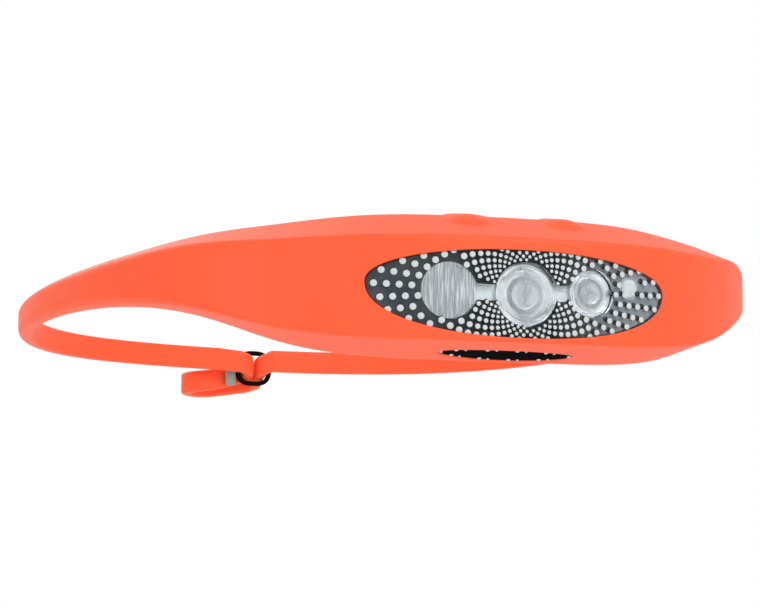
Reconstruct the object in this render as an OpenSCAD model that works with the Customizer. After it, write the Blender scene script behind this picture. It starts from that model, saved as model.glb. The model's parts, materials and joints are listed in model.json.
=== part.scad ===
// Headlamp with a one-piece silicone band and a pull-out light module.
// Millimetres. Origin: centre of the head opening. +Z up, -Y the way the light shines.

/* [Head band] */
// Side to side half-width of the inner curve
band_half_width = 89.5; // [70:1:110]
// Front to back half-depth of the inner curve
band_half_depth = 82; // [65:0.5:100]
// How much the front is flattened
front_flatness = 2.5; // [0:0.1:6]
// How far the lamp sits to the wearer's left of the opening's centre
lamp_offset = 6; // [0:0.5:12]
// Height of the rear strap
strap_height = 6.1; // [4:0.1:12]
// Thickness of the rear strap
strap_thickness = 3; // [2:0.1:5]
// Height of the housing at the lamp
housing_height = 36.9; // [28:0.1:50]
// Depth of the housing at the lamp
housing_depth = 16.5; // [12:0.1:24]
// How far the top bevel drops towards the front face
top_bevel_drop = 8; // [2:0.1:10]
// How far the lower bevel rises towards the front face
lower_bevel_rise = 3.6; // [1:0.1:8]
// Steps round each half of the band
band_steps = 60; // [40:2:120]

/* [Light module] */
// Half-length of the module's case
module_half_length = 42; // [36:0.5:48]
// Case height above the module's centre line
module_top = 16.2; // [10:0.1:20]
// Case height below the module's centre line
module_bottom = 13.2; // [12.9:0.1:18]
// Height of the module's centre line
module_mid_z = -7; // [-12:0.5:0]
// Case wall
case_wall = 1.3; // [1:0.1:2]
// Gap between the case and its pocket
pocket_gap = 0.35; // [0.2:0.05:0.8]
// Half-length of the front window
window_half_length = 38.9; // [30:0.1:44]
// Window height above the centre line
window_top = 8.5; // [6:0.1:12]
// Window height below the centre line
window_bottom = 12.9; // [8:0.1:16]
// Half-length of the lower slot
slot_half_length = 17.5; // [12:0.1:20]
// Half-width of the lower slot
slot_half_width = 3.8; // [2:0.1:4.5]

/* [Buttons] */
// How far the pair of buttons sits from the lamp's middle
button_centre = 2.9; // [-4:0.1:4]
// Half the distance between the two buttons
button_spread = 12.9; // [9:0.1:16]
// Button length along the band
button_length = 11.8; // [8:0.1:16]
// Button length across the bevel
button_width = 9.6; // [6:0.1:12]
// How far a button stands out of the bevel
button_rise = 1.2; // [0.5:0.1:2]

/* [Rear adjuster] */
// Ring width
ring_width = 10.8; // [10.4:0.1:12]
// Ring height
ring_height = 10.2; // [9.6:0.1:14]
// Ring thickness
ring_thickness = 1.4; // [1:0.1:1.4]
// Length of the slack loop of strap
slack_length = 17.4; // [17:0.1:60]

/* [Which part] */
// One sub-part, or all of them

/* [Hidden] */
$fn = 48;
lamp_x = lamp_offset;
fold_y = band_half_depth - front_flatness;
inner_r = 115;
face_r = inner_r + housing_depth;
arc_y = inner_r - fold_y;
case_front_r = face_r - 2.2;
lid_r = inner_r + 0.5;
seam_r = lid_r + 1.9;
strap_half = strap_height / 2;
orange = [0.98, 0.36, 0.2];
black = [0.06, 0.06, 0.07];
grey = [0.55, 0.58, 0.56];
clear = [0.85, 0.9, 0.95, 0.35];
bevel_slope = top_bevel_drop / housing_depth;
bevel_angle = atan(bevel_slope);
skin = 2.42;

// ---- the band's path and its cross-section --------------------------------

// Arc length from the middle of the lamp, close enough for the taper
function along(t) = 1.57 * abs(t);
function hang(t) = -3.19 + 3.64 * cos(t) + 2.2 * pow(sin(t), 3) - 0.13 * sin(t)
  - 0.69 * cos(2 * t) + 0.19 * sin(2 * t) - 0.63 * cos(3 * t);
function belly(t) = 5.18 / (1 + pow(along(t) / 68, 8));
function mid_z(t) = hang(t) - belly(t);
function swell(t) = 1 / (1 + pow(along(t) / 75.4, 4.1));
function half_h(t) = strap_half + (housing_height / 2 - strap_half) * swell(t);
function deep(t) = strap_thickness + (housing_depth - strap_thickness) / (1 + pow(along(t) / 75, 3.5));
function loop_point(t) = [
  band_half_width * sin(t) + lamp_offset * cos(t),
  -band_half_depth * cos(t) + front_flatness * cos(3 * t),
  mid_z(t)
];

// A station is [x, y, z, half height, depth, how much of the housing's bevels it has]
function loop_station(t) = concat(loop_point(t), [half_h(t), deep(t), swell(t)]);
function strap_station(x, y, z) = [x, y, z, strap_half, strap_thickness, 0];
function arc_stations(cx, cy, r, a0, a1, z0, z1, n) = [
  for (i = [0 : n])
    strap_station(cx + r * cos(a0 + (a1 - a0) * i / n), cy + r * sin(a0 + (a1 - a0) * i / n), z0 + (z1 - z0) * i / n)
];
rear_z = hang(180);
ring_x = -8.4;
ring_z = -8.9;
slack_end = ring_x - slack_length;
last_t = 178.5;
first_t = -171;

// Out through the ring, round the slack loop, back in through the ring
function fold_stations() = concat(
  arc_stations(ring_x + 4.3, fold_y + 3.7, 4, 270, 180, rear_z - 0.4, ring_z - 0.1, 6),
  [strap_station(ring_x + 0.3, fold_y + 5.2, ring_z - 0.7)],
  arc_stations(ring_x - 0.7, fold_y + 7.3, 1, 0, 90, ring_z - 2.3, ring_z - 3.5, 4),
  [
    strap_station(ring_x - 4, fold_y + 8.7, ring_z - 3.9),
    strap_station(ring_x - 7.5, fold_y + 9.5, ring_z - 4.4),
    strap_station(ring_x - 11, fold_y + 10.4, ring_z - 4.8),
    strap_station(ring_x - 13.5, fold_y + 10.8, ring_z - 4.9)
  ],
  arc_stations(slack_end + 2.2, fold_y + 8.9, 1.9, 90, 270, ring_z - 4.9, ring_z - 4.0, 8),
  [
    strap_station(ring_x - 13, fold_y + 7.3, ring_z - 3.6),
    strap_station(ring_x - 10.5, fold_y + 7.9, ring_z - 3.2),
    strap_station(ring_x - 7.5, fold_y + 7.9, ring_z - 2.5)
  ],
  arc_stations(ring_x - 4.3, fold_y + 3.6, 4.1, 90, -90, ring_z - 1.6, rear_z - 0.5, 12)
);
stations = concat(
  [for (i = [0 : band_steps]) loop_station(last_t * i / band_steps)],
  fold_stations(),
  [for (i = [0 : band_steps - 1]) loop_station(first_t + (0 - first_t) * i / band_steps)]
);
count = len(stations);

function corner(a, v, b, ca, cb) = let (p = v + (a - v) / norm(a - v) * ca, q = v + (b - v) / norm(b - v) * cb)
  [for (k = [0 : 3]) let (u = k / 3) (1 - u) * (1 - u) * p + 2 * u * (1 - u) * v + u * u * q];
// Corners: soft at the skin, softest outside where the housing narrows into the strap
function section(h, d, g) =
  let (
    a = [0, -h], b = [d, -h + lower_bevel_rise * g], c = [d, h - top_bevel_drop * g], e = [0, h],
    ci = 1 + 0.9 * g, co = 1 - 0.1 * g + 20 * g * pow(1 - g, 4), cl = co + 15 * g * pow(1 - g, 6)
  )
  concat(corner(e, a, b, ci, ci), corner(a, b, c, cl, cl), corner(b, c, e, co, co), corner(c, e, a, ci, ci));
function heading(i) =
  let (p = stations[(i + count - 1) % count], q = stations[(i + 1) % count], v = [q[0] - p[0], q[1] - p[1]])
  v / norm(v);
function ring_points(i) =
  let (s = stations[i], w = heading(i), out = [w[1], -w[0]])
  [for (p = section(s[3], s[4], s[5])) [s[0] + out[0] * p[0], s[1] + out[1] * p[0], s[2] + p[1]]];
per = 16;
band_points = [for (i = [0 : count - 1]) each ring_points(i)];
band_faces = [
  for (i = [0 : count - 1]) for (j = [0 : per - 1])
    let (i2 = (i + 1) % count, j2 = (j + 1) % per)
    each [
      [i * per + j, i * per + j2, i2 * per + j2],
      [i * per + j, i2 * per + j2, i2 * per + j]
    ]
];

// ---- shapes shared by the band and the module ------------------------------

function lobe(a, top, low, e) = [
  for (k = [0 : 7.5 : 352.5])
    let (c = cos(k), s = sin(k), f = 2 / e)
    [sign(c) * pow(abs(c), f) * a, sign(s) * pow(abs(s), f) * (s > 0 ? top : low)]
];
function oval(a, b, n) = [for (k = [0 : n - 1]) [a * cos(360 * k / n), b * sin(360 * k / n)]];

// A flat outline seen from the front, carried straight through from y0 to y1
module front_prism(points, y0, y1)
  translate([lamp_x, y1, module_mid_z]) rotate([90, 0, 0]) linear_extrude(y1 - y0) polygon(points);
module case_prism(grow) front_prism(
  lobe(module_half_length + grow, module_top + grow, module_bottom + grow, 2.1), -110, -60);
module window_prism(grow) front_prism(
  lobe(window_half_length + grow, window_top + grow, window_bottom + grow, 2.2), -110, -60);

// A wedge of a ring about the lamp's arc: radii r0..r1, heights z0..z1
module arc_band(r0, r1, z0, z1)
  translate([lamp_x, arc_y, 0]) difference() {
    translate([0, 0, z0]) cylinder(h = z1 - z0, r = r1, $fn = 180);
    translate([0, 0, z0 - 1]) cylinder(h = z1 - z0 + 2, r = r0, $fn = 180);
  }
// The same, with its top cut parallel to the housing's top bevel, `under` below the case's own top
module bevelled_band(r0, r1, under)
  translate([lamp_x, arc_y, 0]) difference() {
    union() {
      translate([0, 0, -40]) cylinder(h = 40 + case_top(r1) - under, r = r1, $fn = 180);
      translate([0, 0, case_top(r1) - under])
        cylinder(h = case_top(r0) - case_top(r1), r1 = r1, r2 = r0, $fn = 180);
    }
    translate([0, 0, -41]) cylinder(h = 80, r = r0, $fn = 180);
  }
edge_z = mid_z(0) + housing_height / 2 - top_bevel_drop;
function case_top(r) = edge_z - skin + (face_r - r) * bevel_slope;
module case_body(r0, r1, grow) intersection() {
  bevelled_band(r0, r1, -grow);
  case_prism(grow);
}
// Stand something on the lamp's arc: x along the band, r from the arc's centre, z up, -Y outwards
module on_arc(x, r, z)
  translate([lamp_x, arc_y, 0]) rotate([0, 0, asin(x / r)]) translate([0, -r, z]) children();
module outward() rotate([90, 0, 0]) children();
function button_x(side) = button_centre + side * button_spread;
module at_button(side, r) on_arc(button_x(side), r, edge_z + (face_r - r) * bevel_slope)
  rotate([bevel_angle, 0, 0]) children();
module pill(l, w, h) {
  translate([-(l - w) / 2, 0, 0]) cylinder(h = h, d = w);
  translate([(l - w) / 2, 0, 0]) cylinder(h = h, d = w);
  translate([-(l - w) / 2, -w / 2, 0]) cube([l - w, w, h]);
}
pad_r = face_r - 12;
plunger_r = face_r - 10;
pad_depth = 1.5;
foot_depth = 1.75;
dome_r = 22;
plunger_gap = 0.1;
plunger_length = 4.1;
plunger_width = 2.4;
plug_angle = 24.6;
plug_r = 120.9;
plug_z = -6.6;
slot_x = lamp_x - 1.1;
slot_y = -85.2;
lower_window_y = -87;
lens_recess = 0.3;
module at_plug() translate([lamp_x, arc_y, plug_z]) rotate([0, 0, plug_angle]) translate([0, -plug_r, 0]) children();
module box(x0, x1, y0, y1, z0, z1) translate([x0, y0, z0]) cube([x1 - x0, y1 - y0, z1 - z0]);

// ---- silicone ---------------------------------------------------------------

module headband() color(orange) difference() {
  polyhedron(points = band_points, faces = band_faces, convexity = 12);
  // pocket for the module, open towards the head
  case_body(face_r - 30, case_front_r + pocket_gap, pocket_gap);
  // room for the charging plug's neck, then for its tongue
  intersection() {
    arc_band(face_r - 30, plug_r + 3.8, -40, 20);
    hull() box(lamp_x + 36, lamp_x + 51.2, -95, -40, plug_z - 8.2, plug_z + 8.2);
  }
  intersection() {
    arc_band(face_r - 30, plug_r + 2.1, -40, 20);
    hull() box(lamp_x + 48, lamp_x + 62.2, -95, -30, plug_z - 6.6, plug_z + 6.6);
  }
  // window opening
  intersection() {
    arc_band(face_r - 6, face_r + 9, -40, 20);
    window_prism(0.25);
  }
  // lower slot
  hull() slot_prism(slot_half_length, slot_half_width, -28, -14);
  // button holes, each with a shallow seat round it
  for (side = [-1, 1]) {
    hull() at_button(side, pad_r) translate([0, 0, -4]) pill(button_length + 0.5, button_width + 0.5, 8);
    hull() at_button(side, pad_r) translate([0, 0, -0.35]) pill(button_length + 1.7, button_width + 1.7, 8);
  }
}
module slot_prism(a, b, z0, z1, y = slot_y)
  translate([slot_x, y, z0]) linear_extrude(z1 - z0) polygon(oval(a, b, 60));

// A dark lens seated in the lower slot, following the bevel just inside its surface
function low_bevel_z(r) = mid_z(0) - housing_height / 2 + lower_bevel_rise * (r - inner_r) / housing_depth;
module downlight_lens() color([0.08, 0.08, 0.09]) difference() {
  slot_prism(slot_half_length - 0.04, slot_half_width - 0.04, -28, module_mid_z - module_bottom - pocket_gap - 0.1);
  translate([lamp_x, arc_y, 0]) rotate_extrude($fn = 180)
    polygon([[60, -40], [150, -40], [150, low_bevel_z(150) + lens_recess], [60, low_bevel_z(60) + lens_recess]]);
}

// The pad's top is slightly domed; a small foot under it meets the plunger
module pad(side) color(orange) {
  intersection() {
    at_button(side, pad_r) translate([0, 0, -pad_depth]) pill(button_length, button_width, pad_depth + button_rise);
    at_button(side, pad_r) translate([0, 0, button_rise - dome_r]) rotate([90, 0, 0])
      cylinder(h = 30, r = dome_r, center = true, $fn = 120);
  }
  at_button(side, plunger_r) translate([0, 0, -foot_depth]) cylinder(h = 0.5, d = plunger_width - 0.2);
}
module power_pad() pad(-1);
module mode_pad() pad(1);

// ---- rear adjuster ------------------------------------------------------------

module rounded_bar(w, h, t, r) {
  for (sx = [-1, 1]) for (sy = [-1, 1])
    translate([sx * (w / 2 - r), sy * (h / 2 - r), 0]) cylinder(h = t, r = r);
  translate([-w / 2 + r, -h / 2, 0]) cube([w - 2 * r, h, t]);
  translate([-w / 2, -h / 2 + r, 0]) cube([w, h - 2 * r, t]);
}
module adjuster_ring() color(black)
  translate([ring_x, fold_y + 4.52, ring_z]) rotate([90, 0, 0]) difference() {
    rounded_bar(ring_width, ring_height, ring_thickness, 4.2);
    translate([0, 0, -1]) rounded_bar(7.9, 7.5, ring_thickness + 2, 0.8);
  }

// A small tab between the strap and its slack loop, with a thinner lower lip
module locking_wedge() color(grey) translate([ring_x - ring_width / 2 - 0.1, fold_y + 2.85, ring_z]) {
  translate([-3, 0, -4.5]) cube([3, 1.4, 6.4]);
  translate([-2.8, 0.2, -5.1]) cube([2.4, 1, 0.61]);
}

// ---- case ----------------------------------------------------------------------

module front_shell() color(black) difference() {
  union() {
    case_body(seam_r + 0.4, case_front_r, 0);
    at_plug() box(-12, -2, -2.8, 2.8, -7.6, 7.6);
  }
  // inside
  intersection() {
    bevelled_band(seam_r - 2, case_front_r - 1.4, case_wall + 0.1);
    case_prism(-case_wall);
  }
  // front opening behind the window
  intersection() {
    arc_band(case_front_r - 3, case_front_r + 3, -40, 20);
    window_prism(-1.5);
  }
  // where the plug comes out
  at_plug() box(-13, 1, -1.25, 1.25, -6.15, 6.15);
  // lower window
  intersection() {
    slot_prism(18.5, 4, -34, -4, lower_window_y);
    arc_band(seam_r - 2, case_front_r, -40, module_mid_z - 6);
  }
  // plunger holes
  for (side = [-1, 1]) at_button(side, plunger_r) translate([0, 0, -8]) cylinder(h = 8, d = plunger_width + 0.3);
}
module rear_shell() color(black) case_body(lid_r, seam_r, 0);
module shell_gasket() color([0.2, 0.2, 0.22]) difference() {
  case_body(seam_r + 0.01, seam_r + 0.39, -0.05);
  intersection() {
    bevelled_band(seam_r - 1, seam_r + 1, case_wall + 0.1);
    case_prism(-case_wall);
  }
}

// ---- optics --------------------------------------------------------------------

module front_window() color(clear) intersection() {
  arc_band(case_front_r + 0.02, face_r + 0.1, -40, 20);
  window_prism(0);
}
// [x along the band, z, diameter] of the four light outlets
flood = [-17.7, -8.7, 13.6];
spot = [0.8, -9.2, 15.6];
beam = [17.6, -7.9, 11.8];
side = [28, -5.9, 6];
plate_r = case_front_r - 2.4;
board_r = face_r - 8.9;
chip_r = board_r + 0.8;
module backing_plate() color([0.12, 0.13, 0.15]) difference() {
  intersection() {
    arc_band(plate_r, plate_r + 0.8, -40, 20);
    front_prism(lobe(module_half_length - 2.4, window_top + 0.4, module_bottom - 1.4, 2.1), -110, -60);
  }
  for (o = [flood, spot, beam, side]) on_arc(o[0], plate_r - 3, o[1]) outward() cylinder(h = 6, d = o[2] - 1.5);
}
// A solid light-gathering lens: narrow at the chip, wide at the front, hollow over the chip
module lens(o, chip) on_arc(o[0], chip_r, o[1]) outward() difference() {
  union() {
    cylinder(h = 3.6, d1 = chip + 1.6, d2 = o[2] - 1.9);
    translate([0, 0, 3.5]) cylinder(h = 1.3, d = o[2] - 1.9);
  }
  translate([0, 0, -1]) cylinder(h = 2.6, d = chip);
}
module flood_lens() color(clear) {
  difference() {
    lens(flood, 5.2);
    for (k = [-4 : 4]) on_arc(flood[0], chip_r, flood[1]) outward()
      translate([k * 1.2 - 0.3, -9, 4.4]) cube([0.6, 18, 1]);
  }
}
module spot_lens() color(clear) lens(spot, 5.2);
module oval_lens() color(clear) lens(beam, 5.2);
module side_lens() color(clear) lens(side, 3);
module chip(o, w) color([0.95, 0.9, 0.45]) on_arc(o[0], chip_r, o[1]) outward() {
  translate([-w / 2, -w / 2, 0]) cube([w, w, 0.7]);
  translate([0, 0, 0.69]) cylinder(h = 0.35, d = w * 0.82);
}
module flood_led() chip(flood, 3.5);
module spot_led() chip(spot, 3.5);
module oval_led() chip(beam, 3.5);
module side_led() chip(side, 2);

// ---- electronics -----------------------------------------------------------------

module circuit_board() color([0.05, 0.3, 0.16]) intersection() {
  arc_band(board_r, board_r + 0.8, -15.1, 1.8);
  front_prism(lobe(module_half_length - 5, module_top - 3.5, module_bottom - 3.5, 2.1), -110, -60);
}
module arc_slab(r0, r1, z0, z1, half) intersection() {
  arc_band(r0, r1, z0, z1);
  box(lamp_x - half, lamp_x + half, -110, -60, z0 - 1, z1 + 1);
}
module battery() color([0.75, 0.76, 0.78]) arc_slab(seam_r + 0.5, seam_r + 4, -13.6, -2.4, 32.6);
module battery_pad() color([0.25, 0.25, 0.27]) arc_slab(seam_r + 4.05, board_r - 0.05, -13, -3.5, 28);
module lead(z, c) color(c) on_arc(32, seam_r + 4.02, z) outward() cylinder(h = board_r - seam_r - 4.04, d = 0.9);
module positive_lead() lead(-5.5, [0.8, 0.1, 0.1]);
module negative_lead() lead(-11.5, black);
module switch_board() color([0.05, 0.3, 0.16]) arc_slab(seam_r + 0.5, board_r - 0.3, -1.8, -1, 18);
module tact(s) color([0.5, 0.5, 0.52]) on_arc(button_x(s), plunger_r - 2.6, -1) {
  translate([-2.1, -2, 0]) cube([4.2, 3.2, 3]);
  cylinder(h = 3.9, d = 1.8);
}
module power_switch() tact(-1);
module mode_switch() tact(1);
module plunger(s) color([0.15, 0.15, 0.16]) at_button(s, plunger_r) {
  translate([0, 0, -foot_depth - plunger_gap - plunger_length]) cylinder(h = plunger_length, d = plunger_width);
}
module power_plunger() plunger(-1);
module mode_plunger() plunger(1);

// ---- charging plug -----------------------------------------------------------------

module usb_tongue() color([0.08, 0.08, 0.09]) at_plug() box(-12.6, 11.4, -1.1, 1.1, -6, 6);
module usb_contacts() color([0.85, 0.68, 0.3]) at_plug()
  for (k = [[-4.1, 1.2], [-1.3, 1.0], [1.3, 1.0], [4.1, 1.2]])
    box(3, 10.6, 1.1, 1.22, k[0] - k[1] / 2, k[0] + k[1] / 2);
module usb_collar() color([0.2, 0.2, 0.22]) at_plug() difference() {
  box(-2, -0.6, -2.2, 2.2, -7, 7);
  box(-3, 1, -1.1, 1.1, -6, 6);
}

// ---- downlight ------------------------------------------------------------------------

module downlight_window() color(clear) intersection() {
  slot_prism(18.4, 3.9, -34, -4, lower_window_y);
  difference() {
    case_prism(0);
    case_prism(-case_wall);
  }
  arc_band(seam_r - 2, case_front_r, -40, module_mid_z - 6);
}
module downlight_board() color([0.05, 0.3, 0.16]) translate([lamp_x, lower_window_y, 0])
  box(-15, 15, -2.6, 2.6, -16.2, -15.4);
module downlight_chip(x) color([0.95, 0.9, 0.45]) translate([lamp_x + x, lower_window_y, 0])
  box(-1.75, 1.75, -1.4, 1.4, -16.9, -16.2);
module downlight_led_left() downlight_chip(9);
module downlight_led_right() downlight_chip(-9);

// ---- draw -------------------------------------------------------------------------------

headband();
power_pad();
mode_pad();
adjuster_ring();
locking_wedge();
downlight_lens();
front_shell();
rear_shell();
shell_gasket();
front_window();
backing_plate();
flood_lens();
spot_lens();
oval_lens();
side_lens();
flood_led();
spot_led();
oval_led();
side_led();
circuit_board();
battery();
battery_pad();
positive_lead();
negative_lead();
switch_board();
power_switch();
mode_switch();
power_plunger();
mode_plunger();
usb_tongue();
usb_contacts();
usb_collar();
downlight_window();
downlight_board();
downlight_led_left();
downlight_led_right();
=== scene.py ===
"""Looks for a silicone-band headlamp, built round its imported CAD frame.

Shapes are given in millimetres. Materials, lights and the camera are in metres.
"""
import json
import math

import bmesh
import bpy
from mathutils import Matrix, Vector


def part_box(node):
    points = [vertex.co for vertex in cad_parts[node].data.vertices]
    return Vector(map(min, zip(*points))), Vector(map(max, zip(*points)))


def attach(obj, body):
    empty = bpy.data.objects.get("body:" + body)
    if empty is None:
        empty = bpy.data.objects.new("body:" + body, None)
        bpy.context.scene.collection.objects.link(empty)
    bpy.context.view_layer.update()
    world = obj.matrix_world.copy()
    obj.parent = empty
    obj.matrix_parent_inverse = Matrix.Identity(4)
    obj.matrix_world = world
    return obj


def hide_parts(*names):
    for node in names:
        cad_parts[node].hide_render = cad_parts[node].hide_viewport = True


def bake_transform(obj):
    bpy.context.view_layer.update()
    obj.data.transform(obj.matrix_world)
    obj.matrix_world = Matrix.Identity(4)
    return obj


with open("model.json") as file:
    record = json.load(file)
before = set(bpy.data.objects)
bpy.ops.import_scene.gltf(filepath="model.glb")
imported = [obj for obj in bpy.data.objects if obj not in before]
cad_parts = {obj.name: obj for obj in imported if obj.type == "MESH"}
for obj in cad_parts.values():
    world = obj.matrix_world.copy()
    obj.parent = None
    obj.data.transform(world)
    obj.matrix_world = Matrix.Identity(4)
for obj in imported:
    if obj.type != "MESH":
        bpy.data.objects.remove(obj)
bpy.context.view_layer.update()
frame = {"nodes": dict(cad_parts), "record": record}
MM = 0.001

# ---- the band's path and section, the same as the CAD's ------------------------

HALF_WIDTH, HALF_DEPTH, FLATNESS, LAMP_X = 89.5, 82.0, 2.5, 6.0
STRAP_HEIGHT, STRAP_THICKNESS = 6.1, 3.0
HOUSING_HEIGHT, HOUSING_DEPTH = 36.9, 16.5
TOP_DROP, LOW_RISE = 8.0, 3.6
INNER_R = 115.0
FACE_R = INNER_R + HOUSING_DEPTH
FOLD_Y = HALF_DEPTH - FLATNESS
ARC_Y = INNER_R - FOLD_Y
SLOPE = TOP_DROP / HOUSING_DEPTH
BEVEL = math.atan(SLOPE)
MODULE_Z = -7.0
SKIN = 2.42
CASE_R = FACE_R - 2.2


def sind(a):
    return math.sin(math.radians(a))


def cosd(a):
    return math.cos(math.radians(a))


def along(t):
    """Rough distance along the band from the lamp's middle, for t degrees round the head."""
    return 1.57 * abs(t)


def hang(t):
    """Height of the relaxed band's middle line, which sags and twists a little."""
    return (
        -3.19 + 3.64 * cosd(t) + 2.2 * sind(t) ** 3 - 0.13 * sind(t)
        - 0.69 * cosd(2 * t) + 0.19 * sind(2 * t) - 0.63 * cosd(3 * t)
    )


def mid_z(t):
    """The same line, lowered where the deep housing hangs under it."""
    return hang(t) - 5.18 / (1 + (along(t) / 68) ** 8)


def swell(t):
    """1 at the housing, falling to 0 along the strap."""
    return 1 / (1 + (along(t) / 75.4) ** 4.1)


def loop_station(t):
    """Place, half height, depth and swell of the band's section at t degrees."""
    half = STRAP_HEIGHT / 2 + (HOUSING_HEIGHT - STRAP_HEIGHT) / 2 * swell(t)
    deep = STRAP_THICKNESS + (HOUSING_DEPTH - STRAP_THICKNESS) / (1 + (along(t) / 75) ** 3.5)
    x = HALF_WIDTH * sind(t) + LAMP_X * cosd(t)
    y = -HALF_DEPTH * cosd(t) + FLATNESS * cosd(3 * t)
    return (x, y, mid_z(t), half, deep, swell(t))


def strap_station(x, y, z):
    return (x, y, z, STRAP_HEIGHT / 2, STRAP_THICKNESS, 0.0)


def arc_stations(cx, cy, r, a0, a1, z0, z1, n):
    return [
        strap_station(
            cx + r * cosd(a0 + (a1 - a0) * i / n),
            cy + r * sind(a0 + (a1 - a0) * i / n),
            z0 + (z1 - z0) * i / n,
        )
        for i in range(n + 1)
    ]


RING_X, RING_Z, SLACK = -8.4, -8.9, 17.4
REAR_Z = hang(180)
EDGE_Z = mid_z(0) + HOUSING_HEIGHT / 2 - TOP_DROP


def fold_stations():
    """Out through the ring, round the slack loop, and back in through the ring."""
    rx, fy, rz = RING_X, FOLD_Y, RING_Z
    return (
        arc_stations(rx + 4.3, fy + 3.7, 4, 270, 180, REAR_Z - 0.4, rz - 0.1, 12)
        + [strap_station(rx + 0.3, fy + 5.2, rz - 0.7)]
        + arc_stations(rx - 0.7, fy + 7.3, 1, 0, 90, rz - 2.3, rz - 3.5, 8)
        + [
            strap_station(rx - 4, fy + 8.7, rz - 3.9),
            strap_station(rx - 7.5, fy + 9.5, rz - 4.4),
            strap_station(rx - 11, fy + 10.4, rz - 4.8),
            strap_station(rx - 13.5, fy + 10.8, rz - 4.9),
        ]
        + arc_stations(rx - SLACK + 2.2, fy + 8.9, 1.9, 90, 270, rz - 4.9, rz - 4.0, 16)
        + [
            strap_station(rx - 13, fy + 7.3, rz - 3.6),
            strap_station(rx - 10.5, fy + 7.9, rz - 3.2),
            strap_station(rx - 7.5, fy + 7.9, rz - 2.5),
        ]
        + arc_stations(rx - 4.3, fy + 3.6, 4.1, 90, -90, rz - 1.6, REAR_Z - 0.5, 22)
    )


def corner(a, v, b, cut, steps):
    """The points of a rounded corner at v, between the sides towards a and b."""
    p = v + (a - v).normalized() * cut
    q = v + (b - v).normalized() * cut
    return [
        (1 - u) ** 2 * p + 2 * u * (1 - u) * v + u * u * q
        for u in (k / steps for k in range(steps + 1))
    ]


def section(h, d, g):
    """The band's closed section: (outwards, up) points, the skin side at 0."""
    a, b = Vector((0, -h)), Vector((d, -h + LOW_RISE * g))
    c, e = Vector((d, h - TOP_DROP * g)), Vector((0, h))
    inner = 1 + 0.9 * g
    outer = 1 - 0.1 * g + 20 * g * (1 - g) ** 4
    lower = outer + 15 * g * (1 - g) ** 6
    points = []
    sides = (
        (corner(e, a, b, inner, 6), 10),
        (corner(a, b, c, lower, 6), 16),
        (corner(b, c, e, outer, 6), 10),
        (corner(c, e, a, inner, 6), 20),
    )
    for k, (arc, between) in enumerate(sides):
        points += arc
        nxt = sides[(k + 1) % 4][0][0]
        points += [arc[-1].lerp(nxt, j / between) for j in range(1, between)]
    return points


# ---- mesh helpers ----------------------------------------------------------------

def mesh_object(name, verts, faces, material, sharp=40):
    mesh = bpy.data.meshes.new(name)
    mesh.from_pydata([tuple(c * MM for c in v) for v in verts], [], faces)
    obj = bpy.data.objects.new(name, mesh)
    bpy.context.scene.collection.objects.link(obj)
    tidy_mesh(obj, material, sharp)
    return obj


def tidy_mesh(obj, material, sharp=40):
    """Consistent outward normals, smooth shading with sharp edges kept, one material."""
    bm = bmesh.new()
    bm.from_mesh(obj.data)
    bmesh.ops.remove_doubles(bm, verts=bm.verts, dist=1e-7)
    bmesh.ops.recalc_face_normals(bm, faces=bm.faces)
    bm.to_mesh(obj.data)
    bm.free()
    obj.data.materials.clear()
    obj.data.materials.append(material)
    for p in obj.data.polygons:
        p.use_smooth = True
    obj.data.set_sharp_from_angle(angle=math.radians(sharp))


def loft(rings, closed=False, caps=True):
    """Vertices and faces of a skin over rings of points; closed joins the last ring to the first."""
    n = len(rings[0])
    verts = [p for ring in rings for p in ring]
    faces = []
    for i in range(len(rings) if closed else len(rings) - 1):
        a, b = i * n, ((i + 1) % len(rings)) * n
        faces += [(a + j, a + (j + 1) % n, b + (j + 1) % n, b + j) for j in range(n)]
    if caps and not closed:
        faces.append(tuple(range(n))[::-1])
        faces.append(tuple((len(rings) - 1) * n + j for j in range(n)))
    return verts, faces


def cut(obj, cutter, material, sharp=40):
    """Takes the cutter's shape out of obj."""
    mod = obj.modifiers.new("cut", "BOOLEAN")
    mod.operation = "DIFFERENCE"
    mod.solver = "EXACT"
    mod.object = cutter
    dg = bpy.context.evaluated_depsgraph_get()
    mesh = bpy.data.meshes.new_from_object(obj.evaluated_get(dg))
    obj.modifiers.clear()
    obj.data = mesh
    bpy.data.objects.remove(cutter)
    tidy_mesh(obj, material, sharp)
    return obj


def arc_point(x, z, r):
    """x along the lamp's front, z up, r from the centre of the front's curve."""
    a = math.asin(x / FACE_R)
    return (LAMP_X + r * math.sin(a), ARC_Y - r * math.cos(a), z)


def prism_point(x, z, r):
    """The same for an outline carried straight through along Y."""
    return (LAMP_X + x, ARC_Y - math.sqrt(r * r - x * x), z)


def local_frame(x, z, r):
    """Origin and axes of something standing on the lamp's curve: along, up, outwards."""
    a = math.asin(x / r)
    origin = Vector((LAMP_X + r * math.sin(a), ARC_Y - r * math.cos(a), z))
    along_axis = Vector((math.cos(a), math.sin(a), 0))
    outwards = Vector((math.sin(a), -math.cos(a), 0))
    return origin, along_axis, Vector((0, 0, 1)), outwards


def turned(name, x, z, profile, material, segments=64, r=FACE_R, sharp=30):
    """A solid of revolution about the outward axis at (x, z): profile is (radius, depth below r) pairs."""
    o, u, v, w = local_frame(x, z, r)
    rings = []
    for radius, depth in profile:
        rad = max(radius, 0.002)
        rings.append([
            tuple(o + u * rad * math.cos(a) + v * rad * math.sin(a) - w * depth)
            for a in (2 * math.pi * k / segments for k in range(segments))
        ])
    verts, faces = loft(rings)
    return mesh_object(name, verts, faces, material, sharp)


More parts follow.
